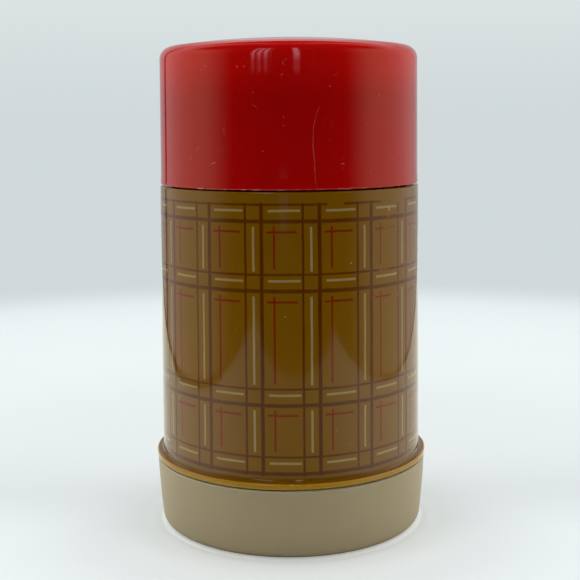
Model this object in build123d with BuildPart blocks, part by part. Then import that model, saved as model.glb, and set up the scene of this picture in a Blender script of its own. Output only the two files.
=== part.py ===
"""A wide-mouth vacuum flask: screw-on cup, screw stopper, moulded jacket, glass filler and screw-on base.

Millimetres, +Z up. The origin is the centre of the foot that the flask stands on, and every turned
piece is centred on the Z axis. The side at -Y is the front.
"""

from build123d import *
import os

# Levels above the table
FLASK_HEIGHT = 181.0
CUP_RIM_HEIGHT = 128.5
SHOULDER_HEIGHT = 128.0
NECK_HEIGHT = 143.0
SEAL_LEDGE_BOTTOM = 129.0
SEAL_LEDGE_TOP = 131.0
GLASS_TOP = 127.0
LIP_TOP = 28.0
BASE_RIM_HEIGHT = 25.6
SKIRT_BOTTOM = 10.0
BASE_FLOOR = 3.2

# Outside radii
CUP_TOP_RADIUS = 47.15
CUP_RIM_RADIUS = 47.85
JACKET_TOP_RADIUS = 47.95
JACKET_DRAFT = 0.0123
LIP_RADIUS = 51.5
BASE_FOOT_RADIUS = 49.4
BASE_WAIST_RADIUS = 50.6
BASE_RIM_RADIUS = 51.25
GLASS_RADIUS = 42.0
MOUTH_RADIUS = 34.0

# Walls and fits
JACKET_WALL = 2.4
CUP_WALL = 2.0
CUP_CROWN = 3.6
LINER_WALL = 1.5
GLASS_WALL = 1.5
VACUUM_GAP = 3.0
FIT = 0.15
EASY_FIT = 0.3

# Rounding of moulded and blown edges
EDGE_ROUND = 0.5
LIP_ROUND = 0.6
INSIDE_ROUND = 1.5
FOOT_ROUND = 3.3
CUP_TOP_ROUND = 4.5
CUP_RIM_ROUND = 3.0
FLARE_ROUND = 1.2
GLASS_LIP_ROUND = 0.9
GLASS_SHOULDER_ROUND = 4.0
GLASS_NECK_ROUND = 2.0
PLUG_ROUND = 4.0
LINER_ROUND = 6.0

# Screw threads: every ridge has this shape, and a mating pair stands half a pitch apart
THREAD_PITCH = 4.0
THREAD_DEPTH = 1.1
THREAD_CLEARANCE = 0.35
THREAD_FOOT = 1.7
THREAD_CREST = 0.9
THREAD_ROOT_SINK = 0.3
NECK_STARTS = 2
BASE_STARTS = 3

# Radii of the walls that carry the threads
NECK_OUTER_RADIUS = 42.6
NECK_BORE_RADIUS = 39.6
SKIRT_RADIUS = 46.7
SKIRT_BORE_RADIUS = 44.4
THREAD_STEP = THREAD_DEPTH + THREAD_CLEARANCE
LINER_BORE_RADIUS = NECK_OUTER_RADIUS + THREAD_STEP
STOPPER_DRUM_RADIUS = NECK_BORE_RADIUS - THREAD_STEP
BASE_BORE_RADIUS = SKIRT_RADIUS + THREAD_STEP

os.makedirs("parts", exist_ok=True)


def jacket_radius(height):
    """Outside radius of the jacket, which widens a little towards the base."""
    return JACKET_TOP_RADIUS + JACKET_DRAFT * (SHOULDER_HEIGHT - height)


def round_corner(profile, radius, height, size):
    """Rounds the corner of a half section that is nearest this radius and height."""
    fillet(profile.vertices().sort_by_distance((radius, height))[0], size)


def screw_ridges(wall_radius, low, turns, starts, inward=False):
    """Right-hand thread ridges on a round wall, standing out of it or, if inward, into its bore."""
    side = -1 if inward else 1
    lead = THREAD_PITCH * starts
    with BuildPart() as ridge:
        with BuildLine() as path:
            Helix(pitch=lead, height=lead * turns, radius=wall_radius, center=(0, 0, low))
        section_plane = Plane(origin=path.line @ 0, x_dir=(1, 0, 0), z_dir=path.line % 0)
        with BuildSketch(section_plane):
            with BuildLine():
                Polyline(
                    (-side * THREAD_ROOT_SINK, -THREAD_FOOT / 2),
                    (side * THREAD_DEPTH, -THREAD_CREST / 2),
                    (side * THREAD_DEPTH, THREAD_CREST / 2),
                    (-side * THREAD_ROOT_SINK, THREAD_FOOT / 2),
                    close=True,
                )
            make_face()
        sweep(is_frenet=True)
    with BuildPart() as ridges:
        with PolarLocations(0, starts):
            add(ridge.part)
    return ridges.part


def bottle_section(radius, bottom, heel, shoulder, mouth_radius, neck, top):
    """Half section of a bottle shape with a domed bottom, for one side of a glass wall."""
    dome_edge = bottom + radius / 7
    with BuildSketch() as half:
        with BuildLine():
            TangentArc((0, bottom), (radius, dome_edge), tangent=(1, 0))
            Polyline(
                (radius, dome_edge),
                (radius, shoulder),
                (mouth_radius, neck),
                (mouth_radius, top),
                (0, top),
                (0, bottom),
            )
        make_face()
        round_corner(half, radius, dome_edge, heel)
        round_corner(half, radius, shoulder, GLASS_SHOULDER_ROUND)
        round_corner(half, mouth_radius, neck, GLASS_NECK_ROUND)
    return half.sketch


# The base: a cup with a foot ring, a screw thread and a round pocket for the cushion

CUSHION_RADIUS = 40.3
POCKET_WALL = 1.6
POCKET_HEIGHT = 6.0
FOOT_RECESS_RADIUS = 42.0
FOOT_RECESS_DEPTH = 1.2
RIB_COUNT = 12
RIB_HEIGHT = 4.0
RIB_LENGTH = 5.2
INSIDE_TAPER_TOP = 11.0
INSIDE_TAPER_BOTTOM = 8.0
INSIDE_TAPER = 1.0
base_thread_low = 15.0
base_thread_turns = 0.65

base_ridges = screw_ridges(
    BASE_BORE_RADIUS, base_thread_low, base_thread_turns, BASE_STARTS, inward=True
)
with BuildPart() as base_cup:
    with BuildSketch(Plane.XZ) as base_half:
        with BuildLine():
            Polyline(
                (0, BASE_FLOOR),
                (0, FOOT_RECESS_DEPTH),
                (FOOT_RECESS_RADIUS, FOOT_RECESS_DEPTH),
                (FOOT_RECESS_RADIUS + FOOT_RECESS_DEPTH, 0),
                (BASE_FOOT_RADIUS, 0),
            )
            ThreePointArc(
                (BASE_FOOT_RADIUS, 0),
                (BASE_WAIST_RADIUS, BASE_RIM_HEIGHT / 2),
                (BASE_RIM_RADIUS, BASE_RIM_HEIGHT),
            )
            Polyline(
                (BASE_RIM_RADIUS, BASE_RIM_HEIGHT),
                (BASE_BORE_RADIUS, BASE_RIM_HEIGHT),
                (BASE_BORE_RADIUS, INSIDE_TAPER_TOP),
                (BASE_BORE_RADIUS - INSIDE_TAPER, INSIDE_TAPER_BOTTOM),
                (BASE_BORE_RADIUS - 1.5 * INSIDE_TAPER, BASE_FLOOR),
                (0, BASE_FLOOR),
            )
        make_face()
        round_corner(base_half, BASE_FOOT_RADIUS, 0, FOOT_ROUND)
        round_corner(base_half, BASE_BORE_RADIUS - 1.5 * INSIDE_TAPER, BASE_FLOOR, INSIDE_ROUND)
        round_corner(base_half, BASE_RIM_RADIUS, BASE_RIM_HEIGHT, EDGE_ROUND)
        round_corner(base_half, BASE_BORE_RADIUS, BASE_RIM_HEIGHT, EDGE_ROUND)
    revolve(axis=Axis.Z)
    with BuildSketch(Plane.XY.offset(BASE_FLOOR)):
        Circle(CUSHION_RADIUS + EASY_FIT + POCKET_WALL)
        Circle(CUSHION_RADIUS + EASY_FIT, mode=Mode.SUBTRACT)
    extrude(amount=POCKET_HEIGHT)
    with BuildSketch(Plane.XY.offset(BASE_FLOOR)):
        with PolarLocations(CUSHION_RADIUS + EASY_FIT + POCKET_WALL / 2, RIB_COUNT):
            Rectangle(RIB_LENGTH, POCKET_WALL, align=(Align.MIN, Align.CENTER))
    extrude(amount=RIB_HEIGHT)
    add(base_ridges)
base_cup.part.label = "base_cup"
export_step(base_cup.part, "parts/base_cup.step")


# The glass filler: an outer and an inner flask, fused at the lip, with the vacuum between them

FUSED_LIP_RADIUS = 36.0
FUSED_LIP_DEPTH = 2.0
OUTER_BOTTOM = 14.0
INNER_BOTTOM = 20.0
OUTER_LIP_RADIUS = 38.0
HEEL = 18.0
OUTER_SHOULDER = 116.0
OUTER_NECK = 123.0
INNER_SHOULDER = 108.0
INNER_NECK = 114.0
TIP_BOTTOM = 8.6
TIP_RADIUS = 1.6
inner_outside_radius = GLASS_RADIUS - GLASS_WALL - VACUUM_GAP

outer_section = bottle_section(
    GLASS_RADIUS, OUTER_BOTTOM, HEEL, OUTER_SHOULDER, OUTER_LIP_RADIUS, OUTER_NECK, GLASS_TOP
)
outer_hollow = bottle_section(
    GLASS_RADIUS - GLASS_WALL,
    OUTER_BOTTOM + GLASS_WALL,
    HEEL - GLASS_WALL,
    OUTER_SHOULDER,
    FUSED_LIP_RADIUS,
    OUTER_NECK,
    GLASS_TOP + 1,
)
with BuildPart() as outer_flask:
    with BuildSketch(Plane.XZ) as outer_half:
        add(outer_section)
        with BuildLine():
            Polyline(
                (0, TIP_BOTTOM),
                (TIP_RADIUS, TIP_BOTTOM),
                (2 * TIP_RADIUS, OUTER_BOTTOM + GLASS_WALL / 2),
                (0, OUTER_BOTTOM + GLASS_WALL / 2),
                close=True,
            )
        make_face()
        add(outer_hollow, mode=Mode.SUBTRACT)
        round_corner(outer_half, TIP_RADIUS, TIP_BOTTOM, GLASS_LIP_ROUND)
        round_corner(outer_half, OUTER_LIP_RADIUS, GLASS_TOP, GLASS_LIP_ROUND)
    revolve(axis=Axis.Z)
outer_flask.part.label = "outer_flask"
export_step(outer_flask.part, "parts/outer_flask.step")

inner_section = bottle_section(
    inner_outside_radius,
    INNER_BOTTOM,
    HEEL - GLASS_WALL - VACUUM_GAP,
    INNER_SHOULDER,
    MOUTH_RADIUS + GLASS_WALL,
    INNER_NECK,
    GLASS_TOP,
)
inner_hollow = bottle_section(
    inner_outside_radius - GLASS_WALL,
    INNER_BOTTOM + GLASS_WALL,
    HEEL - 2 * GLASS_WALL - VACUUM_GAP,
    INNER_SHOULDER,
    MOUTH_RADIUS,
    INNER_NECK,
    GLASS_TOP + 1,
)
with BuildPart() as inner_flask:
    with BuildSketch(Plane.XZ) as inner_half:
        add(inner_section)
        with Locations((0, GLASS_TOP)):
            Rectangle(FUSED_LIP_RADIUS, FUSED_LIP_DEPTH, align=(Align.MIN, Align.MAX))
        add(inner_hollow, mode=Mode.SUBTRACT)
        round_corner(inner_half, MOUTH_RADIUS, GLASS_TOP, GLASS_LIP_ROUND)
    revolve(axis=Axis.Z)
inner_flask.part.label = "inner_flask"
export_step(inner_flask.part, "parts/inner_flask.step")

PAD_COUNT = 3
PAD_ANGLE = 14
PAD_HEIGHT = 11.0
PAD_LOW = 52.0
PAD_CLEARANCE = 0.1
pad_thickness = VACUUM_GAP - 2 * PAD_CLEARANCE
pad_middle = inner_outside_radius + VACUUM_GAP / 2

with BuildPart() as pad:
    with BuildSketch(Plane.XZ):
        with Locations((pad_middle, PAD_LOW + PAD_HEIGHT / 2)):
            RectangleRounded(pad_thickness, PAD_HEIGHT, EDGE_ROUND)
    revolve(axis=Axis.Z, revolution_arc=PAD_ANGLE)
with BuildPart() as spacer_pads:
    with PolarLocations(0, PAD_COUNT):
        add(pad.part)
spacer_pads.part.label = "spacer_pads"
export_step(spacer_pads.part, "parts/spacer_pads.step")


# The soft parts round the glass: cushion, tip guard, band and neck seal

GUARD_HOLE_RADIUS = 9.0
CUSHION_TOP = 27.0
cushion_width = CUSHION_RADIUS - GUARD_HOLE_RADIUS
cushion_seat = bottle_section(
    GLASS_RADIUS + FIT, OUTER_BOTTOM - FIT, HEEL, OUTER_SHOULDER, OUTER_LIP_RADIUS, OUTER_NECK, GLASS_TOP
)
with BuildPart() as base_cushion:
    with BuildSketch(Plane.XZ) as cushion_half:
        with Locations((GUARD_HOLE_RADIUS, BASE_FLOOR)):
            Rectangle(cushion_width, CUSHION_TOP - BASE_FLOOR, align=(Align.MIN, Align.MIN))
        add(cushion_seat, mode=Mode.SUBTRACT)
        round_corner(cushion_half, CUSHION_RADIUS, BASE_FLOOR, EDGE_ROUND)
    revolve(axis=Axis.Z)
base_cushion.part.label = "base_cushion"
export_step(base_cushion.part, "parts/base_cushion.step")

GUARD_GAP = 0.8
GUARD_TAPER = 1.0
GUARD_BORE_RADIUS = 3.0
guard_radius = GUARD_HOLE_RADIUS - GUARD_GAP
guard_top = OUTER_BOTTOM - GUARD_GAP
guard_floor = TIP_BOTTOM - GUARD_GAP
with BuildPart() as tip_guard:
    with BuildSketch(Plane.XZ) as guard_half:
        with BuildLine():
            Polyline(
                (0, BASE_FLOOR),
                (guard_radius, BASE_FLOOR),
                (guard_radius - GUARD_TAPER, guard_top),
                (GUARD_BORE_RADIUS + GUARD_TAPER, guard_top),
                (GUARD_BORE_RADIUS, guard_floor),
                (0, guard_floor),
                close=True,
            )
        make_face()
        round_corner(guard_half, guard_radius - GUARD_TAPER, guard_top, EDGE_ROUND)
    revolve(axis=Axis.Z)
tip_guard.part.label = "tip_guard"
export_step(tip_guard.part, "parts/tip_guard.step")

BAND_LOW = 92.0
BAND_HEIGHT = 18.0
band_thickness = SKIRT_BORE_RADIUS - GLASS_RADIUS - EASY_FIT - FIT
with BuildPart() as centring_band:
    with BuildSketch(Plane.XZ):
        with Locations((GLASS_RADIUS + FIT + band_thickness / 2, BAND_LOW + BAND_HEIGHT / 2)):
            RectangleRounded(band_thickness, BAND_HEIGHT, EDGE_ROUND)
    revolve(axis=Axis.Z)
centring_band.part.label = "centring_band"
export_step(centring_band.part, "parts/centring_band.step")

LEDGE_BORE_RADIUS = 34.5
SEAL_POCKET_RADIUS = 40.6
SEAL_SKIRT_LIFT = 1.4
SEAL_SKIRT_TAPER = 0.3
seal_outside = SEAL_POCKET_RADIUS - FIT
seal_inside = OUTER_LIP_RADIUS + FIT
seal_skirt_bottom = OUTER_NECK + SEAL_SKIRT_LIFT
with BuildPart() as neck_seal:
    with BuildSketch(Plane.XZ) as seal_half:
        with BuildLine():
            Polyline(
                (LEDGE_BORE_RADIUS + FIT, GLASS_TOP + FIT),
                (LEDGE_BORE_RADIUS + FIT, SEAL_LEDGE_BOTTOM - FIT),
                (seal_outside, SEAL_LEDGE_BOTTOM - FIT),
                (seal_outside, seal_skirt_bottom),
                (seal_inside + SEAL_SKIRT_TAPER, seal_skirt_bottom),
                (seal_inside, GLASS_TOP + FIT),
                close=True,
            )
        make_face()
        round_corner(seal_half, seal_outside, SEAL_LEDGE_BOTTOM - FIT, EDGE_ROUND)
        round_corner(seal_half, seal_outside, seal_skirt_bottom, EDGE_ROUND)
    revolve(axis=Axis.Z)
neck_seal.part.label = "neck_seal"
export_step(neck_seal.part, "parts/neck_seal.step")


# The jacket: one moulding from the threaded neck down to the threaded skirt

SHOULDER_THICKNESS = 2.5
SKIRT_TAPER_LOW = 24.0
SKIRT_TAPER_HIGH = 31.0
inner_shoulder = SHOULDER_HEIGHT - SHOULDER_THICKNESS
lip_underside = BASE_RIM_HEIGHT + EASY_FIT
flare_radius = jacket_radius(LIP_TOP)
skirt_thread_low = base_thread_low - THREAD_PITCH / 2
neck_outer_thread_low = 133.0
neck_inner_thread_low = 133.6
neck_thread_turns = 0.85

skirt_ridges = screw_ridges(SKIRT_RADIUS, skirt_thread_low, base_thread_turns, BASE_STARTS)
cup_ridges = screw_ridges(NECK_OUTER_RADIUS, neck_outer_thread_low, neck_thread_turns, NECK_STARTS)
mouth_ridges = screw_ridges(
    NECK_BORE_RADIUS, neck_inner_thread_low, neck_thread_turns, NECK_STARTS, inward=True
)
with BuildPart() as jacket:
    with BuildSketch(Plane.XZ) as jacket_half:
        with BuildLine():
            Polyline(
                (NECK_BORE_RADIUS, NECK_HEIGHT),
                (NECK_OUTER_RADIUS, NECK_HEIGHT),
                (NECK_OUTER_RADIUS, SHOULDER_HEIGHT),
                (JACKET_TOP_RADIUS, SHOULDER_HEIGHT),
                (flare_radius, LIP_TOP),
                (LIP_RADIUS, LIP_TOP),
                (LIP_RADIUS, lip_underside),
                (SKIRT_RADIUS, lip_underside),
                (SKIRT_RADIUS, SKIRT_BOTTOM),
                (SKIRT_BORE_RADIUS, SKIRT_BOTTOM),
                (SKIRT_BORE_RADIUS, SKIRT_TAPER_LOW),
                (flare_radius - JACKET_WALL, SKIRT_TAPER_HIGH),
                (JACKET_TOP_RADIUS - JACKET_WALL, inner_shoulder),
                (SEAL_POCKET_RADIUS, inner_shoulder),
                (SEAL_POCKET_RADIUS, SEAL_LEDGE_BOTTOM),
                (LEDGE_BORE_RADIUS, SEAL_LEDGE_BOTTOM),
                (LEDGE_BORE_RADIUS, SEAL_LEDGE_TOP),
                (NECK_BORE_RADIUS, SEAL_LEDGE_TOP),
                close=True,
            )
        make_face()
        round_corner(jacket_half, JACKET_TOP_RADIUS, SHOULDER_HEIGHT, EDGE_ROUND)
        round_corner(jacket_half, flare_radius, LIP_TOP, FLARE_ROUND)
        round_corner(jacket_half, LIP_RADIUS, LIP_TOP, LIP_ROUND)
        round_corner(jacket_half, LIP_RADIUS, lip_underside, EDGE_ROUND)
        round_corner(jacket_half, NECK_OUTER_RADIUS, SHOULDER_HEIGHT, LIP_ROUND)
        round_corner(jacket_half, NECK_OUTER_RADIUS, NECK_HEIGHT, LIP_ROUND)
        round_corner(jacket_half, NECK_BORE_RADIUS, NECK_HEIGHT, LIP_ROUND)
        round_corner(jacket_half, LEDGE_BORE_RADIUS, SEAL_LEDGE_TOP, EDGE_ROUND)
        round_corner(jacket_half, SKIRT_RADIUS, SKIRT_BOTTOM, EDGE_ROUND)
        round_corner(jacket_half, SKIRT_BORE_RADIUS, SKIRT_BOTTOM, EDGE_ROUND)
        round_corner(jacket_half, JACKET_TOP_RADIUS - JACKET_WALL, inner_shoulder, INSIDE_ROUND)
    revolve(axis=Axis.Z)
    add(skirt_ridges)
    add(cup_ridges)
    add(mouth_ridges)
jacket.part.label = "jacket"
export_step(jacket.part, "parts/jacket.step")


# The stopper: a threaded drum and plug, filled with foam and closed by a fluted grip disc

PLUG_RADIUS = 32.6
PLUG_BOTTOM = 108.0
PLUG_TAPER = 0.6
STOPPER_WALL = 1.8
GASKET_THICKNESS = 2.0
drum_bottom = SEAL_LEDGE_TOP + GASKET_THICKNESS + 2 * FIT
drum_top = NECK_HEIGHT + EASY_FIT
drum_bore = STOPPER_DRUM_RADIUS - STOPPER_WALL
plug_bore = PLUG_RADIUS - STOPPER_WALL
plug_floor = PLUG_BOTTOM + STOPPER_WALL
stopper_thread_low = neck_inner_thread_low + THREAD_PITCH / 2
stopper_thread_turns = 0.75

drum_ridges = screw_ridges(STOPPER_DRUM_RADIUS, stopper_thread_low, stopper_thread_turns, NECK_STARTS)
with BuildPart() as stopper_body:
    with BuildSketch(Plane.XZ) as body_half:
        with BuildLine():
            Polyline(
                (0, PLUG_BOTTOM),
                (PLUG_RADIUS - PLUG_TAPER, PLUG_BOTTOM),
                (PLUG_RADIUS, drum_bottom),
                (STOPPER_DRUM_RADIUS, drum_bottom),
                (STOPPER_DRUM_RADIUS, drum_top),
                (drum_bore, drum_top),
                (drum_bore, drum_bottom + STOPPER_WALL),
                (plug_bore, drum_bottom + STOPPER_WALL),
                (plug_bore - PLUG_TAPER, plug_floor),
                (0, plug_floor),
                close=True,
            )
        make_face()
        round_corner(body_half, PLUG_RADIUS - PLUG_TAPER, PLUG_BOTTOM, PLUG_ROUND)
        round_corner(body_half, plug_bore - PLUG_TAPER, plug_floor, PLUG_ROUND - STOPPER_WALL)
    revolve(axis=Axis.Z)
    add(drum_ridges)
stopper_body.part.label = "stopper_body"
export_step(stopper_body.part, "parts/stopper_body.step")

SPIGOT_DEPTH = 4.0
SPIGOT_WALL = 1.6
puck_bottom = plug_floor + FIT
puck_step = drum_bottom + STOPPER_WALL + FIT
puck_low_radius = plug_bore - FIT
puck_high_radius = drum_bore - SPIGOT_WALL - 2 * FIT
with BuildPart() as stopper_insulation:
    with BuildSketch(Plane.XZ) as puck_half:
        with BuildLine():
            Polyline(
                (0, puck_bottom),
                (puck_low_radius - PLUG_TAPER, puck_bottom),
                (puck_low_radius, puck_step),
                (puck_high_radius, puck_step),
                (puck_high_radius, drum_top - FIT),
                (0, drum_top - FIT),
                close=True,
            )
        make_face()
        round_corner(puck_half, puck_low_radius - PLUG_TAPER, puck_bottom, PLUG_ROUND - STOPPER_WALL)
    revolve(axis=Axis.Z)
stopper_insulation.part.label = "stopper_insulation"
export_step(stopper_insulation.part, "parts/stopper_insulation.step")

gasket_width = STOPPER_DRUM_RADIUS - PLUG_RADIUS - 2 * FIT
gasket_middle = (STOPPER_DRUM_RADIUS + PLUG_RADIUS) / 2
with BuildPart() as stopper_gasket:
    with BuildSketch(Plane.XZ):
        with Locations((gasket_middle, SEAL_LEDGE_TOP + FIT + GASKET_THICKNESS / 2)):
            RectangleRounded(gasket_width, GASKET_THICKNESS, EDGE_ROUND)
    revolve(axis=Axis.Z)
stopper_gasket.part.label = "stopper_gasket"
export_step(stopper_gasket.part, "parts/stopper_gasket.step")

FLANGE_RADIUS = 41.3
FLANGE_THICKNESS = 2.2
GRIP_RADIUS = 39.8
GRIP_HEIGHT = 15.0
GRIP_WALL = 3.4
FLUTE_COUNT = 32
FLUTE_RADIUS = 2.4
FLUTE_DEPTH = 0.9
BAR_WIDTH = 9.0
BAR_DROP = 2.0
BAR_ROUND = 2.5
GRIP_TAPER = 1.0
grip_floor = drum_top + FLANGE_THICKNESS
grip_top = drum_top + GRIP_HEIGHT
grip_bore = GRIP_RADIUS - GRIP_WALL
with BuildPart() as stopper_top:
    with BuildSketch(Plane.XZ) as grip_half:
        with BuildLine():
            Polyline(
                (0, drum_top),
                (FLANGE_RADIUS, drum_top),
                (FLANGE_RADIUS, grip_floor),
                (GRIP_RADIUS, grip_floor),
                (GRIP_RADIUS, grip_top),
                (grip_bore, grip_top),
                (grip_bore - GRIP_TAPER, grip_floor),
                (0, grip_floor),
                close=True,
            )
        make_face()
        round_corner(grip_half, FLANGE_RADIUS, grip_floor, LIP_ROUND)
        round_corner(grip_half, grip_bore - GRIP_TAPER, grip_floor, INSIDE_ROUND)
    revolve(axis=Axis.Z)
    with BuildSketch(Plane.XY.offset(grip_top)):
        with PolarLocations(GRIP_RADIUS + FLUTE_RADIUS - FLUTE_DEPTH, FLUTE_COUNT):
            Circle(FLUTE_RADIUS)
    extrude(amount=grip_floor - grip_top, mode=Mode.SUBTRACT)
    fillet(stopper_top.edges().group_by(Axis.Z)[-1], LIP_ROUND)
    with BuildSketch(Plane.XY.offset(grip_floor)):
        Rectangle(2 * grip_bore, BAR_WIDTH)
    extrude(amount=grip_top - grip_floor - BAR_DROP)
    bar_edges = stopper_top.edges().filter_by(GeomType.LINE).filter_by(Axis.X)
    fillet(bar_edges.group_by(Axis.Z)[-1], BAR_ROUND)
    with BuildSketch(Plane.XY.offset(drum_top)):
        Circle(drum_bore - FIT)
        Circle(drum_bore - FIT - SPIGOT_WALL, mode=Mode.SUBTRACT)
    extrude(amount=-SPIGOT_DEPTH)
stopper_top.part.label = "stopper_top"
export_step(stopper_top.part, "parts/stopper_top.step")


# The cup: a smooth shell, a threaded liner welded into it at the drinking rim, and foam between

SHELL_TOP_WALL = 2.2
RIM_SWELL = 0.2
RIM_SWELL_HEIGHT = 4.0
LINER_WAIST_RADIUS = 41.9
LINER_STEP_LOW = 141.5
LINER_STEP_HIGH = 144.0
STEP_LIFT = 1.0
LINER_CEILING = 171.0
liner_thread_low = neck_outer_thread_low - THREAD_PITCH / 2
liner_outer_radius = LINER_BORE_RADIUS + LINER_WALL
shell_bore_radius = liner_outer_radius + FIT
cup_edge_height = FLASK_HEIGHT - CUP_CROWN
shell_crown = FLASK_HEIGHT - SHELL_TOP_WALL
shell_ceiling = cup_edge_height - SHELL_TOP_WALL
shell_top_bore = CUP_TOP_RADIUS - CUP_WALL
rim_swell_top = CUP_RIM_HEIGHT + RIM_SWELL_HEIGHT

with BuildPart() as cup_shell:
    with BuildSketch(Plane.XZ) as shell_half:
        with BuildLine():
            TangentArc((0, FLASK_HEIGHT), (CUP_TOP_RADIUS, cup_edge_height), tangent=(1, 0))
            Polyline(
                (CUP_TOP_RADIUS, cup_edge_height),
                (CUP_RIM_RADIUS - RIM_SWELL, rim_swell_top),
                (CUP_RIM_RADIUS, CUP_RIM_HEIGHT),
                (shell_bore_radius, CUP_RIM_HEIGHT),
                (shell_top_bore, shell_ceiling),
            )
            TangentArc((0, shell_crown), (shell_top_bore, shell_ceiling), tangent=(1, 0))
            Line((0, shell_crown), (0, FLASK_HEIGHT))
        make_face()
        round_corner(shell_half, CUP_TOP_RADIUS, cup_edge_height, CUP_TOP_ROUND)
        round_corner(shell_half, shell_top_bore, shell_ceiling, CUP_TOP_ROUND - INSIDE_ROUND)
        round_corner(shell_half, CUP_RIM_RADIUS - RIM_SWELL, rim_swell_top, CUP_RIM_ROUND)
        round_corner(shell_half, CUP_RIM_RADIUS, CUP_RIM_HEIGHT, EDGE_ROUND)
    revolve(axis=Axis.Z)
cup_shell.part.label = "cup_shell"
export_step(cup_shell.part, "parts/cup_shell.step")

liner_waist_outside = LINER_WAIST_RADIUS + LINER_WALL
liner_top = LINER_CEILING + LINER_WALL
liner_ridges = screw_ridges(
    LINER_BORE_RADIUS, liner_thread_low, neck_thread_turns, NECK_STARTS, inward=True
)
with BuildPart() as cup_liner:
    with BuildSketch(Plane.XZ) as liner_half:
        with BuildLine():
            Polyline(
                (LINER_BORE_RADIUS, CUP_RIM_HEIGHT),
                (LINER_BORE_RADIUS, LINER_STEP_LOW),
                (LINER_WAIST_RADIUS, LINER_STEP_HIGH),
                (LINER_WAIST_RADIUS, LINER_CEILING),
                (0, LINER_CEILING),
                (0, liner_top),
                (liner_waist_outside, liner_top),
                (liner_waist_outside, LINER_STEP_HIGH + STEP_LIFT),
                (liner_outer_radius - RIM_SWELL, LINER_STEP_LOW + STEP_LIFT),
                (liner_outer_radius, CUP_RIM_HEIGHT),
                close=True,
            )
        make_face()
        round_corner(liner_half, LINER_WAIST_RADIUS, LINER_CEILING, LINER_ROUND)
        round_corner(liner_half, liner_waist_outside, liner_top, LINER_ROUND + LINER_WALL)
        round_corner(liner_half, LINER_BORE_RADIUS, CUP_RIM_HEIGHT, EDGE_ROUND)
    revolve(axis=Axis.Z)
    add(liner_ridges)
cup_liner.part.label = "cup_liner"
export_step(cup_liner.part, "parts/cup_liner.step")

foam_outer_radius = shell_top_bore - FIT
foam_inner_radius = liner_waist_outside + FIT
foam_bottom = LINER_STEP_HIGH + STEP_LIFT + EASY_FIT
foam_crown = shell_crown - FIT
foam_edge = shell_ceiling - FIT
foam_ceiling = liner_top + FIT
with BuildPart() as cup_insulation:
    with BuildSketch(Plane.XZ) as foam_half:
        with BuildLine():
            TangentArc((0, foam_crown), (foam_outer_radius, foam_edge), tangent=(1, 0))
            Polyline(
                (foam_outer_radius, foam_edge),
                (foam_outer_radius, foam_bottom),
                (foam_inner_radius, foam_bottom),
                (foam_inner_radius, foam_ceiling),
                (0, foam_ceiling),
                (0, foam_crown),
            )
        make_face()
        round_corner(foam_half, foam_outer_radius, foam_edge, CUP_TOP_ROUND - INSIDE_ROUND)
        round_corner(foam_half, foam_inner_radius, foam_ceiling, LINER_ROUND)
    revolve(axis=Axis.Z)
cup_insulation.part.label = "cup_insulation"
export_step(cup_insulation.part, "parts/cup_insulation.step")
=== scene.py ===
"""Looks of the vacuum flask: materials for its pieces, a pale floor and the soft light of a light tent."""

import math

import bpy
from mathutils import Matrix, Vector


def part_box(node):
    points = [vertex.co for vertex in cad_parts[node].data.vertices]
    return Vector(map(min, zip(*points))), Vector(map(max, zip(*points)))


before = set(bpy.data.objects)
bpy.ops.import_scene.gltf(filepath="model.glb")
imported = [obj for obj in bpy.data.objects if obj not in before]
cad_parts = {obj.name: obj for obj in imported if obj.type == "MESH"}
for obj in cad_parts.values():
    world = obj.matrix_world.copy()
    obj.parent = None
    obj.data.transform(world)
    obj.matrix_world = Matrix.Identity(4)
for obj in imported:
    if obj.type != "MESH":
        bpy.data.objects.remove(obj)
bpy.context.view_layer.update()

MM = 0.001

# Heights on the flask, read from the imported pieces.
cup_low, cup_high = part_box("cup_shell")
_, jacket_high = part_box("jacket")
_, base_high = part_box("base_cup")
CUP_RIM = cup_low.z / MM
CUP_TOP = cup_high.z / MM
LIP_EDGE = jacket_high.x / MM - 0.5
BASE_RIM = base_high.z / MM

# The jacket's wall, which widens downwards, and the top of its lip.
JACKET_TOP_RADIUS = 47.95
JACKET_TOP = 128.0
JACKET_DRAFT = 0.0123
LIP_TOP = 28.0

# Radius at which distances round the flask are measured, and the cup's millimetres for one degree.
ROUND_RADIUS = 48.0
CUP_ARC = 0.83


# ---------------------------------------------------------------- fields


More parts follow.
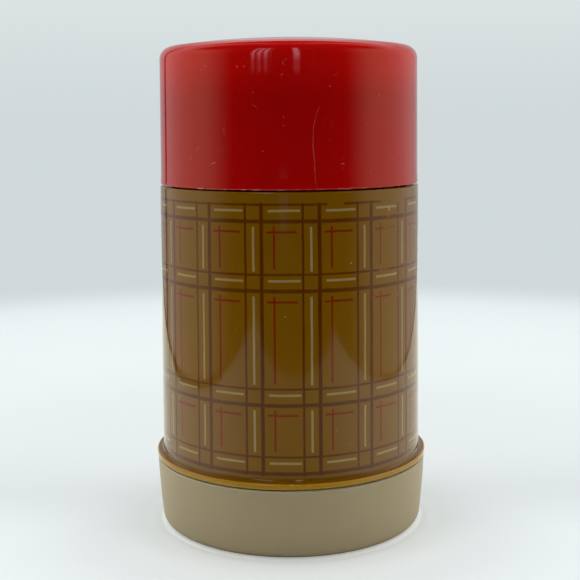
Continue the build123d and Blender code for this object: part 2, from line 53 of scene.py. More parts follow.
class Field:
    """A number that varies over a surface: one output socket, with arithmetic."""

    def __init__(self, tree, socket):
        self.tree = tree
        self.socket = socket

    def __add__(self, other):
        return calc(self.tree, "ADD", self, other)

    def __radd__(self, other):
        return calc(self.tree, "ADD", other, self)

    def __sub__(self, other):
        return calc(self.tree, "SUBTRACT", self, other)

    def __rsub__(self, other):
        return calc(self.tree, "SUBTRACT", other, self)

    def __mul__(self, other):
        return calc(self.tree, "MULTIPLY", self, other)

    def __truediv__(self, other):
        return calc(self.tree, "DIVIDE", self, other)

    def magnitude(self):
        return calc(self.tree, "ABSOLUTE", self)

    def power(self, exponent):
        return calc(self.tree, "POWER", self, exponent)

    def larger(self, other):
        return calc(self.tree, "MAXIMUM", self, other)

    def smaller(self, other):
        return calc(self.tree, "MINIMUM", self, other)

    def ramp(self, start, end, low=0.0, high=1.0):
        """low where the field is start or beyond, high where it is end or beyond, smooth between."""
        node = self.tree.nodes.new("ShaderNodeMapRange")
        node.interpolation_type = "SMOOTHSTEP"
        if start > end:
            start, end, low, high = end, start, high, low
        for slot, value in zip(node.inputs, (self, start, end, low, high)):
            plug(slot, value)
        return Field(self.tree, node.outputs["Result"])

    def near(self, centre, half, soft):
        """1 within half of centre, falling to 0 across soft."""
        return (self - centre).magnitude().ramp(half + soft / 2, half - soft / 2)

    def between(self, low, high, soft):
        """1 between low and high, falling to 0 across soft at each end."""
        return self.near((low + high) / 2, (high - low) / 2, soft)


def plug(slot, value):
    """Feeds a field, a node socket or a plain value to an input."""
    if isinstance(value, Field):
        value.tree.links.new(value.socket, slot)
    elif isinstance(value, bpy.types.NodeSocket):
        slot.id_data.links.new(value, slot)
    else:
        slot.default_value = value


def calc(tree, kind, *values):
    node = tree.nodes.new("ShaderNodeMath")
    node.operation = kind
    for slot, value in zip(node.inputs, values):
        plug(slot, value)
    return Field(tree, node.outputs[0])


def mixed(tree, share, a, b, kind="MIX"):
    """Colour a with share of colour b laid over it."""
    node = tree.nodes.new("ShaderNodeMix")
    node.data_type = "RGBA"
    node.blend_type = kind
    node.clamp_factor = True
    for slot, value in ((node.inputs[0], share), (node.inputs[6], a), (node.inputs[7], b)):
        if isinstance(value, tuple):
            value = (*value, 1.0)
        plug(slot, value)
    return node.outputs[2]


def split(tree, vector):
    node = tree.nodes.new("ShaderNodeSeparateXYZ")
    plug(node.inputs[0], vector)
    return [Field(tree, s) for s in node.outputs]


def joined(tree, x, y, z):
    node = tree.nodes.new("ShaderNodeCombineXYZ")
    for slot, value in zip(node.inputs, (x, y, z)):
        plug(slot, value)
    return node.outputs[0]


def strongest(fields):
    """The largest of several masks."""
    result = fields[0]
    for field in fields[1:]:
        result = result.larger(field)
    return result


PLASTIC_IOR = 1.5


class Surface:
    """One material: a Principled shader, and the place on the flask in millimetres and degrees."""

    def __init__(self, name):
        self.material = bpy.data.materials.new(name)
        self.material.use_nodes = True
        self.tree = self.material.node_tree
        self.shader = self.tree.nodes["Principled BSDF"]
        self.shader.inputs["IOR"].default_value = PLASTIC_IOR
        place = self.tree.nodes.new("ShaderNodeTexCoord")
        scale = self.tree.nodes.new("ShaderNodeVectorMath")
        scale.operation = "SCALE"
        plug(scale.inputs[0], place.outputs["Object"])
        scale.inputs["Scale"].default_value = 1 / MM
        self.point = scale.outputs[0]
        self.x, self.y, self.z = split(self.tree, self.point)
        self.radius = (self.x * self.x + self.y * self.y).power(0.5)
        turn = calc(self.tree, "ARCTAN2", self.x, self.y * -1)
        self.turn = turn * math.degrees(1)
        self.around = turn * ROUND_RADIUS

    def noise(self, size, detail=2.0, roughness=0.5, where=None, seed=0.0):
        """Soft noise from 0 to 1 with features about size millimetres across."""
        node = self.tree.nodes.new("ShaderNodeTexNoise")
        node.noise_dimensions = "4D"
        plug(node.inputs["Vector"], where or self.point)
        node.inputs["W"].default_value = seed
        node.inputs["Scale"].default_value = 1 / size
        node.inputs["Detail"].default_value = detail
        node.inputs["Roughness"].default_value = roughness
        return Field(self.tree, node.outputs[0])

    def cells(self, size):
        """Distance to the nearest of scattered points about size millimetres apart."""
        node = self.tree.nodes.new("ShaderNodeTexVoronoi")
        plug(node.inputs["Vector"], self.point)
        node.inputs["Scale"].default_value = 1 / size
        return Field(self.tree, node.outputs[0])

    def wrapped(self, stretch_around=1.0, stretch_up=1.0):
        """The surface unrolled: distance around, height and radius, each divided by its stretch."""
        return joined(self.tree, self.around / stretch_around, self.z / stretch_up, self.radius)

    def colour(self, value):
        plug(self.shader.inputs["Base Color"], value)

    def rough(self, value):
        plug(self.shader.inputs["Roughness"], value)

    def bump(self, height, depth):
        """height from 0 to 1 raises the surface by up to depth millimetres."""
        node = self.tree.nodes.new("ShaderNodeBump")
        node.inputs["Strength"].default_value = 1.0
        node.inputs["Distance"].default_value = depth * MM
        plug(node.inputs["Height"], height)
        self.tree.links.new(node.outputs[0], self.shader.inputs["Normal"])

    def spot(self, turn, height, across, tall, lean=0.0):
        """1 at the middle of an oval mark at that turn and height, falling to 0 at its edge."""
        u = self.around - math.radians(turn) * ROUND_RADIUS
        v = self.z - height
        c, s = math.cos(math.radians(lean)), math.sin(math.radians(lean))
        a = (u * c + v * s) / across
        b = (v * c - u * s) / tall
        return (a * a + b * b).ramp(1.0, 0.2)

    def stroke(self, points, width):
        """A thin line through (turn, height) points, running up the wall."""
        node = self.tree.nodes.new("ShaderNodeFloatCurve")
        low, high = points[0][1], points[-1][1]
        turns = [t for t, _ in points]
        left, right = min(turns) - 1, max(turns) + 1
        curve = node.mapping.curves[0]
        while len(curve.points) < len(points):
            curve.points.new(0.5, 0.5)
        for knot, (turn, height) in zip(curve.points, points):
            knot.location = ((height - low) / (high - low), (turn - left) / (right - left))
        node.mapping.update()
        plug(node.inputs["Value"], (self.z - low) / (high - low))
        path = Field(self.tree, node.outputs[0]) * (right - left) + left
        return ((self.turn - path) * CUP_ARC).near(0, width / 2, width) * self.z.between(low, high, 3.0)


def paint(surface, *nodes):
    """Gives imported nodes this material."""
    for name in nodes:
        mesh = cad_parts[name].data
        mesh.materials.clear()
        mesh.materials.append(surface.material)


# ---------------------------------------------------------------- printed jacket

# The plaid, in millimetres up the wall and degrees round it. It repeats evenly and meets at the back.
REPEAT = 23.42
FIRST = 5.3
ARC = math.radians(1) * 48.5
SEAM_AT = 180
THIN, THICK, CREAM_WIDE, RED_WIDE, SOFT = 0.75, 1.3, 0.78, 0.72, 0.35
THIN_RINGS = (123.8, 100.2, 60.8, 36.9)
THICK_RINGS = (118.2, 94.6, 55.1, 31.0)
CREAM_RINGS = (121.75, 98.05, 58.7, 34.7)
RED_RINGS = (114.6, 90.9, 51.6)
CREAM_SPANS = ((101.3, 116.3), (62.2, 92.7), (38.4, 53.3))
RED_SPANS = ((102.1, 116.5), (62.7, 92.8), (39.0, 53.5))
PRINT_LOW = THICK_RINGS[-1] - THICK / 2
PRINT_HIGH = THIN_RINGS[0] + THIN / 2
# Columns in degrees after the first thin line, and the middle and width of the dashes between them.
THICK_AT = 6.75
CREAM_AT = 3.35
RED_AT = 11.85
CREAM_DASH_AT, CREAM_DASH_WIDE = 15.9, 12.95
RED_DASH_AT, RED_DASH_WIDE = 15.0, 12.35

# Where the print is worn: turn, height, half width and half height in millimetres, and how much.
WORN_PLACES = (
    (19.0, 123.8, 4.0, 1.6, 1.0),
    (50.0, 124.5, 14.0, 2.2, 1.0),
    (46.0, 114.8, 5.5, 1.0, 0.8),
    (50.0, 90.6, 7.0, 1.2, 0.8),
    (45.0, 99.8, 7.0, 2.0, 0.6),
    (44.5, 119.5, 2.4, 2.6, 0.7),
    (-130.0, 52.0, 16.0, 9.0, 0.55),
    (150.0, 92.0, 12.0, 14.0, 0.5),
)
JACKET_CHIPS = (
    (25.5, 103.5, 0.35, 0.35),
    (-2.0, 86.0, 0.3, 0.3),
    (46.0, 121.0, 0.5, 1.0),
)

MUSTARD = (0.247, 0.104, 0.0015)
MUSTARD_LIGHT = (0.28, 0.13, 0.003)
# Painted shade for the ledge in the corner under the jacket's wall.
LEDGE_PAINTED_SHADE = (0.10, 0.035, 0.0005)
CHIP_PALE = (0.50, 0.40, 0.22)
GOLD = (0.45, 0.225, 0.0088)
CREAM_INK = (0.43, 0.305, 0.13)
RED_INK = (0.25, 0.004, 0.002)
RING_TINT = (0.52, 0.28, 0.30)
COLUMN_TINT = (0.46, 0.21, 0.28)


def make_jacket():
    s = Surface("jacket_print")
    wobble = s.noise(9.0, 2.0, seed=1.0)
    shake = (wobble - 0.5) * 0.35
    height = s.z + shake
    turn = s.turn + (s.noise(12.0, 2.0, seed=2.0) - 0.5) * 0.4

    def column(offset, wide):
        reach = calc(s.tree, "WRAP", turn - (FIRST + offset), REPEAT / 2, -REPEAT / 2) * ARC
        return reach.near(0, wide / 2, SOFT)

    def rings(heights, wide):
        return strongest([height.near(h, wide / 2, SOFT) for h in heights])

    def spans(pairs):
        return strongest([height.between(low, high, SOFT) for low, high in pairs])

    wall = JACKET_TOP_RADIUS + (JACKET_TOP - s.z) * JACKET_DRAFT
    outside = (s.radius - wall).ramp(-0.4, -0.25)
    printed = outside * height.between(PRINT_LOW - 0.2, PRINT_HIGH + 0.2, 0.1)
    clear_of_seam = (s.turn.magnitude() - SEAM_AT).magnitude().ramp(0.55, 0.75)
    printed = printed * clear_of_seam

    # Ink worn away: thin everywhere, heavier at the upper right and at the edges of the print.
    grain = s.noise(1.1, 4.0, 0.7, seed=3.0)
    patches = s.noise(6.0, 3.0, 0.6, seed=4.0)
    worn_area = strongest([s.spot(*place) * share for *place, share in WORN_PLACES])
    loss = (grain * 0.55 + patches * 0.45 + worn_area * 0.33).ramp(0.70, 0.78)
    faint = (patches * 0.6 + grain * 0.4).ramp(0.3, 0.75, 1.0, 0.8)
    ink = printed * (1 - loss) * faint

    vertical = strongest([column(0, THIN), column(THICK_AT, THICK)])
    ring = strongest([rings(THIN_RINGS, THIN), rings(THICK_RINGS, THICK)])
    cream = strongest([
        column(CREAM_AT, CREAM_WIDE) * spans(CREAM_SPANS),
        column(CREAM_DASH_AT, CREAM_DASH_WIDE * ARC) * rings(CREAM_RINGS, CREAM_WIDE),
    ])
    red = strongest([
        column(RED_AT, RED_WIDE) * spans(RED_SPANS),
        column(RED_DASH_AT, RED_DASH_WIDE * ARC) * rings(RED_RINGS, RED_WIDE),
    ])
    inked = ink * strongest([cream, red, vertical, ring])

    # Bare plastic: mottled a little and bright gold round the lip's edge. The ledge above it is painted
    # darker, as painted shade in the corner under the wall.
    mottle = s.noise(14.0, 3.0, seed=5.0)
    ground = mixed(s.tree, mottle.ramp(0.3, 0.7, 0.0, 0.18), MUSTARD, MUSTARD_LIGHT)
    bare = (s.radius - LIP_EDGE).ramp(-0.2, 0.2) * s.z.ramp(LIP_TOP + 0.4, LIP_TOP + 0.1)
    ground = mixed(s.tree, bare, ground, GOLD)
    # Painted shade: the ledge under the wall is darkened in its colour.
    ledge = s.z.ramp(LIP_TOP + 1.4, LIP_TOP + 0.1) * (s.radius - LIP_EDGE).ramp(0.2, -0.2)
    ground = mixed(s.tree, ledge * 0.5, ground, LEDGE_PAINTED_SHADE)
    shade = mixed(s.tree, ring * (1 - vertical) * ink, ground, RING_TINT, "MULTIPLY")
    shade = mixed(s.tree, vertical * ink, shade, COLUMN_TINT, "MULTIPLY")
    shade = mixed(s.tree, cream * ink, shade, CREAM_INK)
    shade = mixed(s.tree, red * ink * 0.92, shade, RED_INK)

    # Small chips and dust specks.
    specks = s.cells(5.2).ramp(0.05, 0.03) * s.noise(22.0, seed=6.0).ramp(0.5, 0.62)
    chips = strongest([specks] + [s.spot(*chip) for chip in JACKET_CHIPS])
    shade = mixed(s.tree, chips * outside * 0.7, shade, CHIP_PALE)
    s.colour(shade)

    scuff = s.noise(1.0, 3.0, 0.6, s.wrapped(6.0, 0.5), seed=7.0).ramp(0.6, 0.75)
    s.rough(0.07 + scuff * 0.06 + chips * 0.3 + inked * 0.02)
    swell = s.noise(16.0, 1.0, seed=8.0)
    s.bump(inked * 0.004 + swell * 0.014 - chips * outside * 0.02, 1.0)
    paint(s, "jacket")


# ---------------------------------------------------------------- red cup

RED = (0.55, 0.002, 0.0015)
RED_LIGHT = (0.60, 0.004, 0.003)
# Painted light: a brighter red for the top of the cup's wall.
RED_PAINTED_LIGHT = (0.80, 0.004, 0.003)
RED_PALE = (0.70, 0.20, 0.17)
RUBBED = (0.85, 0.62, 0.55)
LINER_RED = (0.52, 0.02, 0.016)
STAIN = (0.20, 0.02, 0.012)
# The cup's wall leans in a little above CUP_BELLY up to its round, which is over at CUP_ROUND. Its red is
# painted lighter from CUP_BELLY up to CUP_SHOULDER, as painted light.
CUP_BELLY = 157.0
CUP_SHOULDER = 174.0
CUP_ROUND = 176.6
CUP_LEAN = 0.0024
# Its top rises by CUP_CROWN in the middle.
CUP_CROWN = 3.6
CUP_RADIUS = 47.15
STAIN_DEPTH = 22
# Marks on the cup's front: turn, height, half width and half height in millimetres, lean in degrees.
CUP_NICKS = (
    (-36.2, 169.7, 0.2, 0.75, -8),
    (-38.4, 168.4, 0.35, 0.3, 0),
    (-21.0, 169.2, 0.35, 0.4, 20),
    (-18.1, 169.2, 0.4, 0.4, -30),
    (-2.1, 170.0, 0.22, 0.9, 20),
    (-2.7, 166.4, 0.85, 0.22, 25),
    (-14.4, 160.8, 0.4, 0.35, 0),
    (-13.7, 156.4, 1.4, 0.22, -32),
    (-2.1, 152.6, 0.22, 0.35, 0),
    (-2.1, 149.9, 0.28, 0.4, 0),
    (16.8, 162.6, 0.5, 0.2, 20),
    (19.7, 166.6, 1.5, 0.2, 32),
    (40.2, 159.6, 0.35, 0.35, 0),
    (-41.1, 141.9, 1.9, 0.2, 52),
    (-42.5, 147.1, 0.25, 0.6, 30),
    (-32.3, 137.5, 1.2, 0.35, 12),
    (-33.6, 137.0, 0.5, 0.22, -20),
    (-45.4, 139.0, 1.3, 0.22, 60),
    (-10.5, 141.5, 0.3, 0.25, 0),
    (22.2, 137.1, 0.9, 0.22, 10),
    (16.6, 145.0, 0.25, 0.2, 0),
    (35.4, 133.7, 0.25, 0.25, 0),
)
# A long scratch that curves down the front.
CUP_SCRATCH = (
    (11.5, 128.8), (10.8, 130.5), (10.4, 134.3), (10.2, 138.3),
    (9.7, 142.8), (9.8, 147.9), (10.6, 151.8), (12.1, 155.4),
)


def make_cup():
    s = Surface("cup_red")
    crown = CUP_TOP - s.radius * s.radius * (CUP_CROWN / CUP_RADIUS ** 2)
    outside = (s.radius - 46.0).ramp(0, 0.3).larger((s.z - crown).ramp(-0.6, -0.3))
    marks = strongest([s.spot(*nick) for nick in CUP_NICKS])
    long_mark = s.stroke(CUP_SCRATCH, 0.22)
    broken = s.noise(3.0, 3.0, 0.7, seed=11.0).ramp(0.35, 0.6, 0.25, 1.0)

    # Hairline scratches: contour lines of stretched noise, kept where a second noise allows.
    hair = s.noise(7.0, 1.0, 0.4, s.wrapped(0.7, 2.5), seed=12.0).near(0.5, 0.0012, 0.0012)
    hair = hair * s.noise(9.0, 2.0, seed=13.0).ramp(0.56, 0.64)
    cross = s.noise(5.0, 1.0, 0.4, s.wrapped(3.0, 0.8), seed=14.0).near(0.52, 0.001, 0.001)
    cross = cross * s.noise(8.0, 2.0, seed=15.0).ramp(0.58, 0.66)
    dots = s.cells(4.3).ramp(0.035, 0.02) * s.noise(18.0, seed=16.0).ramp(0.5, 0.6)
    rub = s.z.ramp(CUP_RIM + 0.5, CUP_RIM + 0.05) * s.noise(5.0, 4.0, 0.7, seed=17.0).ramp(0.45, 0.55)
    rub = rub * s.turn.between(-80, -12, 20).larger(0.3)
    pale = strongest([marks * broken, long_mark * broken, hair * 0.5, cross * 0.4, dots * 0.6]) * outside

    mottle = s.noise(20.0, 3.0, seed=18.0)
    shade = mixed(s.tree, mottle.ramp(0.3, 0.7, 0.0, 0.22), RED, RED_LIGHT)
    # Painted light: the wall's red brightens from CUP_BELLY up to CUP_SHOULDER and fades out before
    # CUP_ROUND.
    painted_top_light = s.z.ramp(CUP_BELLY, CUP_SHOULDER) * s.z.ramp(CUP_ROUND, CUP_ROUND - 3)
    shade = mixed(s.tree, painted_top_light, shade, RED_PAINTED_LIGHT)
    shade = mixed(s.tree, pale * 0.55, shade, RED_PALE)
    shade = mixed(s.tree, rub * 0.7, shade, RUBBED)
    s.colour(shade)
    film = s.noise(12.0, 4.0, 0.6, s.wrapped(1.0, 3.0), seed=19.0).ramp(0.35, 0.75, 0.0, 0.05)
    s.rough(0.05 + film + pale * 0.25 + rub * 0.3)
    swell = s.noise(14.0, 1.0, seed=20.0)
    lift = (s.z - CUP_BELLY).larger(0.0)
    s.bump(swell * 0.012 - pale * 0.02 - lift * lift * CUP_LEAN, 1.0)
    paint(s, "cup_shell")

    inner = Surface("cup_liner_red")
    tide = inner.noise(6.0, 3.0, seed=21.0)
    stain = (inner.z + tide * 3).near(CUP_TOP - STAIN_DEPTH, 0.4, 0.8)
    shade = mixed(inner.tree, tide.ramp(0.3, 0.7, 0.0, 0.3), RED, LINER_RED)
    shade = mixed(inner.tree, stain * 0.35, shade, STAIN)
    inner.colour(shade)
    inner.rough(0.12 + tide * 0.08)
    inner.bump(tide * 0.01, 1.0)
    paint(inner, "cup_liner")


# ---------------------------------------------------------------- base and inner pieces

TAN = (0.465, 0.365, 0.225)
TAN_LIGHT = (0.49, 0.388, 0.242)
TAN_PAINTED_HIGHLIGHT = (0.62, 0.53, 0.36)
TAN_BOTTOM_DARKER = (0.30, 0.24, 0.13)
SPECK = (0.22, 0.17, 0.10)
CREAM, CREAM_LIGHT = (0.66, 0.58, 0.40), (0.72, 0.64, 0.46)
RUBBER, RUBBER_LIGHT = (0.045, 0.043, 0.042), (0.075, 0.07, 0.066)
FOAM = (0.74, 0.68, 0.50)
SILVER, SILVER_DULL, TARNISH = (0.86, 0.87, 0.87), (0.74, 0.73, 0.70), (0.42, 0.33, 0.20)
FELT, FELT_LIGHT = (0.52, 0.47, 0.38), (0.68, 0.63, 0.53)
STOPPER_PIECES = ("stopper_body", "stopper_top")
RUBBER_PIECES = ("neck_seal", "stopper_gasket", "tip_guard")
FOAM_PIECES = ("centring_band", "base_cushion", "stopper_insulation", "cup_insulation")


def make_base():
    s = Surface("base_tan")
    cloud = s.noise(18.0, 4.0, 0.6, seed=31.0)
    fine = s.noise(0.5, 2.0, 0.6, seed=32.0)
    bottom_patches = s.noise(2.2, 4.0, 0.7, seed=33.0)
    # Darker in patches towards the bottom, within 4 mm of the floor.
    low = s.z.ramp(4.0, 0.5) * bottom_patches.ramp(0.35, 0.7)
    # Painted highlight: a lighter band just under the base's top rim.
    rim_highlight = s.z.ramp(BASE_RIM - 1.0, BASE_RIM - 0.5)
    shade = mixed(s.tree, cloud.ramp(0.3, 0.7, 0.0, 0.4), TAN, TAN_LIGHT)
    shade = mixed(s.tree, low * 0.35, shade, TAN_BOTTOM_DARKER)
    shade = mixed(s.tree, rim_highlight * 0.7, shade, TAN_PAINTED_HIGHLIGHT)
    specks = s.cells(6.0).ramp(0.03, 0.02) * cloud.ramp(0.5, 0.6)
    shade = mixed(s.tree, specks * 0.5, shade, SPECK)
    s.colour(shade)
    s.rough(0.40 + fine * 0.08 + low * 0.15)
    s.bump(fine * 0.004 + cloud * 0.01 - specks * 0.01, 1.0)
    paint(s, "base_cup")


def make_moulded(name, body, tint, rough, nodes, seed):
    """Plain moulded or soft plastic: clouded colour, a fine skin and a few dark specks."""
    s = Surface(name)
    cloud = s.noise(10.0, 4.0, 0.6, seed=seed)
    fine = s.noise(0.6, 2.0, 0.6, seed=seed + 0.5)
    specks = s.cells(5.0).ramp(0.03, 0.02) * cloud.ramp(0.5, 0.6)
    shade = mixed(s.tree, cloud.ramp(0.3, 0.7), body, tint)
    shade = mixed(s.tree, specks * 0.5, shade, tuple(c * 0.5 for c in tint))
    s.colour(shade)
    s.rough(rough + fine * 0.1)
    s.bump(fine * 0.006 + cloud * 0.01, 1.0)
    paint(s, *nodes)


def make_foam(name, body, nodes, seed):
    """Rigid foam: open cells as fine pits."""
    s = Surface(name)
    pits = s.cells(0.9)
    cloud = s.noise(7.0, 4.0, 0.6, seed=seed)
    shade = mixed(s.tree, cloud.ramp(0.3, 0.7, 0.0, 0.6), body, tuple(c * 0.8 for c in body))
    # Painted shade: the bottoms of the pits are darkened.
    shade = mixed(s.tree, pits.ramp(0.25, 0.1, 0.0, 0.6), shade, tuple(c * 0.45 for c in body))
    s.colour(shade)
    s.rough(0.8 + cloud * 0.15)
    s.bump(pits, 0.25)
    paint(s, *nodes)


def make_glass():
    s = Surface("silvered_glass")
    cloud = s.noise(16.0, 4.0, 0.6, seed=61.0)
    tarnish = s.noise(5.0, 5.0, 0.7, seed=62.0).ramp(0.62, 0.8)
    shade = mixed(s.tree, cloud.ramp(0.3, 0.7), SILVER, SILVER_DULL)
    shade = mixed(s.tree, tarnish * 0.5, shade, TARNISH)
    s.colour(shade)
    s.shader.inputs["Metallic"].default_value = 1.0
    s.shader.inputs["Coat Weight"].default_value = 1.0
    s.shader.inputs["Coat Roughness"].default_value = 0.02
    s.rough(0.06 + cloud * 0.06 + tarnish * 0.2)
    s.bump(cloud, 0.05)
    paint(s, "outer_flask", "inner_flask")


def make_felt():
    s = Surface("pad_felt")
    strands = s.noise(0.5, 4.0, 0.8, seed=71.0)
    shade = mixed(s.tree, strands.ramp(0.3, 0.7), FELT, FELT_LIGHT)
    s.colour(shade)
    s.rough(0.9 + strands * 0.1)
    s.bump(strands, 0.12)
    paint(s, "spacer_pads")


# ---------------------------------------------------------------- light tent

PALE = (0.635, 0.692, 0.702)
PALE_HIGH = (0.73, 0.79, 0.79)
# The tent's walls: their shades in reflections and for diffuse light, and where the sheet meets them.
SIDE_MIRRORED, SIDE_MIRRORED_FAR = (1.0, 0.94, 0.68), (1.0, 0.95, 0.88)
SIDE_DIFFUSE = (1.0, 0.96, 0.92)
BACK_SHADE = (0.86, 0.93, 0.95)
ROOF_SHADE = (0.96, 1.0, 1.0)
TENT_LEFT, TENT_RIGHT = -0.284, 0.303
# Azimuth and half width, in degrees, of what the flask mirrors: seam, two panes and a faint low patch.
SEAM, SEAM_HALF = -141.0, 2.2
BARRED_PANE, BARRED_HALF = -24, 8.5
NARROW_PANE, NARROW_HALF = 7, 2.6
LOW_PATCH, LOW_HALF = -5, 4
BAR_PITCH, BAR_HALF = 5.6, 1.5
SEAM_SHADE = (0.03, 0.025, 0.02)
PANE_SHADE = (1.0, 0.86, 1.0)


def make_world():
    world = bpy.data.worlds.new("tent")
    bpy.context.scene.world = world
    world.use_nodes = True
    tree = world.node_tree
    shader = tree.nodes["Background"]
    place = tree.nodes.new("ShaderNodeTexCoord")
    x, y, z = split(tree, place.outputs["Generated"])
    azimuth = calc(tree, "ARCTAN2", x, y * -1) * math.degrees(1)
    rise = calc(tree, "ARCSINE", z) * math.degrees(1)

    # Seen by a camera: a plain pale backdrop, a little lighter higher up.
    backdrop = mixed(tree, rise.ramp(-1, 9), PALE, PALE_HIGH)

    # Seen by everything else: pale walls at the sides and back, a bright roof, and a dim room beyond
    # the open front. The walls are a little weaker in reflections than for diffuse light.
    path = tree.nodes.new("ShaderNodeLightPath")
    shiny = Field(tree, path.outputs["Is Glossy Ray"])
    sides = azimuth.ramp(-47, -82).larger(azimuth.ramp(48, 82))
    back = azimuth.magnitude().ramp(125, 150)
    cloth = mixed(tree, azimuth.magnitude().ramp(85, 125), SIDE_MIRRORED, SIDE_MIRRORED_FAR)
    warm = mixed(tree, back, mixed(tree, shiny, SIDE_DIFFUSE, cloth), BACK_SHADE)
    edge = 1 - rise.ramp(30, 45) * azimuth.near(0, 110, 20) * shiny
    level = sides * edge * (0.80 - shiny * 0.08) - back * (0.08 + shiny * 0.10) + 0.008
    fill = (1 - sides) * rise.between(-5, 62, 10) * (1 - shiny) * 0.02
    level = (level + fill) * (1 - back * rise.ramp(45, 60) * shiny)
    walls = mixed(tree, 1.0, warm, joined(tree, level, level, level), "MULTIPLY")
    high = rise.ramp(28, 55)
    lamps = (1 - azimuth.near(0, 75, 30) * 0.95) * 1.25 + rise.ramp(71, 80) * 6.5
    mirrored = (y / z.larger(0.05)).ramp(0.6, 0.95)
    glare = high * (lamps * (1 - shiny) + mirrored * shiny * 1.15)
    overhead = mixed(tree, 1.0, ROOF_SHADE, joined(tree, glare, glare, glare), "MULTIPLY")
    tent = mixed(tree, 1.0, walls, overhead, "ADD")

    # Only in reflections: the tent's corner seam, and a window far behind the camera.
    seam = azimuth.near(SEAM, SEAM_HALF, 1.2) * shiny
    tent = mixed(tree, seam, tent, SEAM_SHADE)
    bars = calc(tree, "WRAP", azimuth, BAR_PITCH, 0.0).near(BAR_PITCH / 2, BAR_HALF, 1.2)
    panes = azimuth.near(BARRED_PANE, BARRED_HALF, 2) * bars + azimuth.near(NARROW_PANE, NARROW_HALF, 1.5)
    low_patch = azimuth.near(LOW_PATCH, LOW_HALF, 3) * rise.between(-4.8, -1.8, 1.2) * 0.18
    glow = panes * (rise.between(12.5, 50, 2.0) * 2.4 + rise.between(9.0, 12.5, 1.5) * 0.4)
    glow = (glow + low_patch) * shiny
    lilac = mixed(tree, 1.0, PANE_SHADE, joined(tree, glow, glow, glow), "MULTIPLY")
    tent = mixed(tree, 1.0, tent, lilac, "ADD")

    shown = mixed(tree, path.outputs["Is Camera Ray"], tent, backdrop)
    plug(shader.inputs["Color"], shown)
    world.cycles.sampling_method = "MANUAL"
    world.cycles.sample_map_resolution = 512


SHEET = (0.680, 0.712, 0.724)
SHEET_CLOUD = (0.692, 0.724, 0.736)
SHEET_PAINTED_SHADE = (0.615, 0.645, 0.655)
SHEET_PAINTED_LIGHT = (0.75, 0.785, 0.795)
SHEET_APRON_PAINTED_LIGHT = (0.89, 0.915, 0.92)
SHEET_FAR = (0.80, 0.86, 0.87)
CONTACT_LIGHT = (0.97, 1.0, 0.98, 1.0)
SHEET_MIRRORED = (0.74, 0.775, 0.69)
SHADOW_MIRRORED = (0.10, 0.10, 0.05)
GAP_MIRRORED = (0.02, 0.02, 0.015)
FLOOR_HALF = 4.0
# How far the sheet runs past the tent's left and right walls, and where its front edge lies.
LEFT_OVERLAP, RIGHT_OVERLAP = 0.026, 0.014
SHEET_EDGE = 0.352


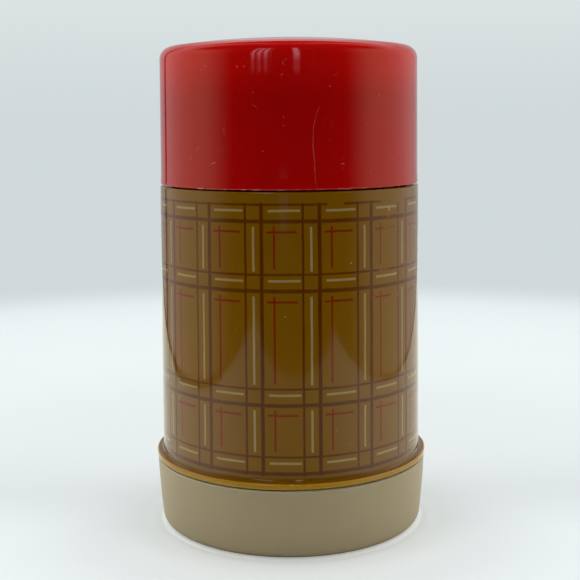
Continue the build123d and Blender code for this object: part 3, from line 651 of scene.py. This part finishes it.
def make_floor():
    """A pale sheet: it ends at the tent's walls in reflections, and runs into the backdrop for a camera."""
    half = FLOOR_HALF
    mesh = bpy.data.meshes.new("floor")
    mesh.from_pydata(
        [(-half, -half, 0), (half, -half, 0), (half, half, 0), (-half, half, 0)], [], [(0, 1, 2, 3)]
    )
    floor = bpy.data.objects.new("floor", mesh)
    bpy.context.scene.collection.objects.link(floor)

    material = bpy.data.materials.new("floor_sheet")
    material.use_nodes = True
    mesh.materials.append(material)
    tree = material.node_tree
    shader = tree.nodes["Principled BSDF"]
    output = tree.nodes["Material Output"]
    shader.inputs["Roughness"].default_value = 0.6
    shader.inputs["Specular IOR Level"].default_value = 0.25
    place = tree.nodes.new("ShaderNodeTexCoord")
    x, y, _ = split(tree, place.outputs["Object"])
    weave = tree.nodes.new("ShaderNodeTexNoise")
    plug(weave.inputs["Vector"], place.outputs["Object"])
    weave.inputs["Scale"].default_value = 9.0
    cloud = Field(tree, weave.outputs[0])
    sheen = mixed(tree, cloud.ramp(0.3, 0.7), SHEET, SHEET_CLOUD)
    reach = (x * x + y * y).power(0.5)
    # Painted shade: the sheet darkens towards the flask.
    sheen = mixed(tree, reach.ramp(0.30, 0.09) * 0.75, sheen, SHEET_PAINTED_SHADE)
    # Painted light: the sheet is brighter in front of the flask, and brighter still in an apron just in
    # front of the base.
    sheen = mixed(tree, y.ramp(0.03, -0.03), sheen, SHEET_PAINTED_LIGHT)
    painted_apron_light = reach.ramp(0.085, 0.055) * y.ramp(-0.01, -0.05)
    plug(shader.inputs["Base Color"], mixed(tree, painted_apron_light, sheen, SHEET_APRON_PAINTED_LIGHT))

    # Light that stands in for what gets in under the rounded foot.
    contact = reach.ramp(0.0518, 0.0486) * 0.32 + reach.ramp(0.060, 0.051) * 0.06
    plug(shader.inputs["Emission Color"], CONTACT_LIGHT)
    plug(shader.inputs["Emission Strength"], contact)

    # Outline of the sheet as reflections see it: straight at the sides, wavy along the front.
    ripple = (cloud - 0.5) * 0.03
    left = x + ripple - TENT_LEFT
    right = TENT_RIGHT - x + ripple
    bow = (x - 0.05) * (x - 0.05)
    front = y + SHEET_EDGE + bow * 1.1 + x.smaller(0.0) * x * 0.8 + ripple
    sheet = (left + LEFT_OVERLAP).smaller(right + RIGHT_OVERLAP).smaller(front).ramp(0.0, 0.002)
    gap = left.ramp(0.002, -0.001).larger(right.ramp(0.002, -0.001))
    hem = front.ramp(0.010, 0.006) * (x.ramp(-0.10, -0.18) + x.ramp(0.12, 0.20) * 0.5)
    gap = gap.larger(hem)
    bearing = calc(tree, "ARCTAN2", x, y * -1).magnitude() * math.degrees(1)
    path = tree.nodes.new("ShaderNodeLightPath")
    shiny = Field(tree, path.outputs["Is Glossy Ray"])
    shadow = bearing.ramp(75, 10) * y.ramp(-0.04, -0.12) * shiny
    shade = mixed(tree, shadow * 0.8, SHEET_MIRRORED, SHADOW_MIRRORED)
    shade = mixed(tree, gap, shade, GAP_MIRRORED)

    camera = Field(tree, path.outputs["Is Camera Ray"])
    lit = tree.nodes.new("ShaderNodeBsdfDiffuse")
    plug(lit.inputs["Color"], shade)
    clear = tree.nodes.new("ShaderNodeBsdfTransparent")
    reflected = tree.nodes.new("ShaderNodeMixShader")
    plug(reflected.inputs[0], sheet)
    plug(reflected.inputs[1], clear.outputs[0])
    plug(reflected.inputs[2], lit.outputs[0])

    far = mixed(tree, reach.ramp(0.62, 0.46), PALE, SHEET_FAR)
    glow = tree.nodes.new("ShaderNodeEmission")
    plug(glow.inputs["Color"], far)
    seen = tree.nodes.new("ShaderNodeMixShader")
    plug(seen.inputs[0], reach.ramp(0.36, 0.56))
    plug(seen.inputs[1], shader.outputs[0])
    plug(seen.inputs[2], glow.outputs[0])

    both = tree.nodes.new("ShaderNodeMixShader")
    plug(both.inputs[0], camera)
    plug(both.inputs[1], reflected.outputs[0])
    plug(both.inputs[2], seen.outputs[0])
    plug(output.inputs["Surface"], both.outputs[0])


# The camera stands in front of the flask and looks down a little, with a slight roll.
SENSOR, LENS = 36.0, 68.67
CAMERA_PLACE = (0.0, -0.4159, 0.1530)
CAMERA_DOWN = 8.942
CAMERA_ROLL = -0.414


def make_camera():
    data = bpy.data.cameras.new("camera")
    data.sensor_width = SENSOR
    data.lens = LENS
    data.clip_start = 0.01
    data.clip_end = 50.0
    camera = bpy.data.objects.new("camera", data)
    bpy.context.scene.collection.objects.link(camera)
    camera.location = CAMERA_PLACE
    camera.rotation_mode = "XYZ"
    camera.rotation_euler = (math.radians(90 - CAMERA_DOWN), 0, 0)
    camera.rotation_euler.rotate_axis("Z", math.radians(CAMERA_ROLL))
    bpy.context.scene.camera = camera


make_jacket()
make_cup()
make_base()
make_moulded("stopper_cream", CREAM, CREAM_LIGHT, 0.22, STOPPER_PIECES, 41.0)
make_moulded("rubber_grey", RUBBER, RUBBER_LIGHT, 0.6, RUBBER_PIECES, 43.0)
make_foam("foam_cream", FOAM, FOAM_PIECES, 51.0)
make_glass()
make_felt()
make_world()
make_floor()
make_camera()
bpy.context.scene.view_settings.view_transform = "Standard"
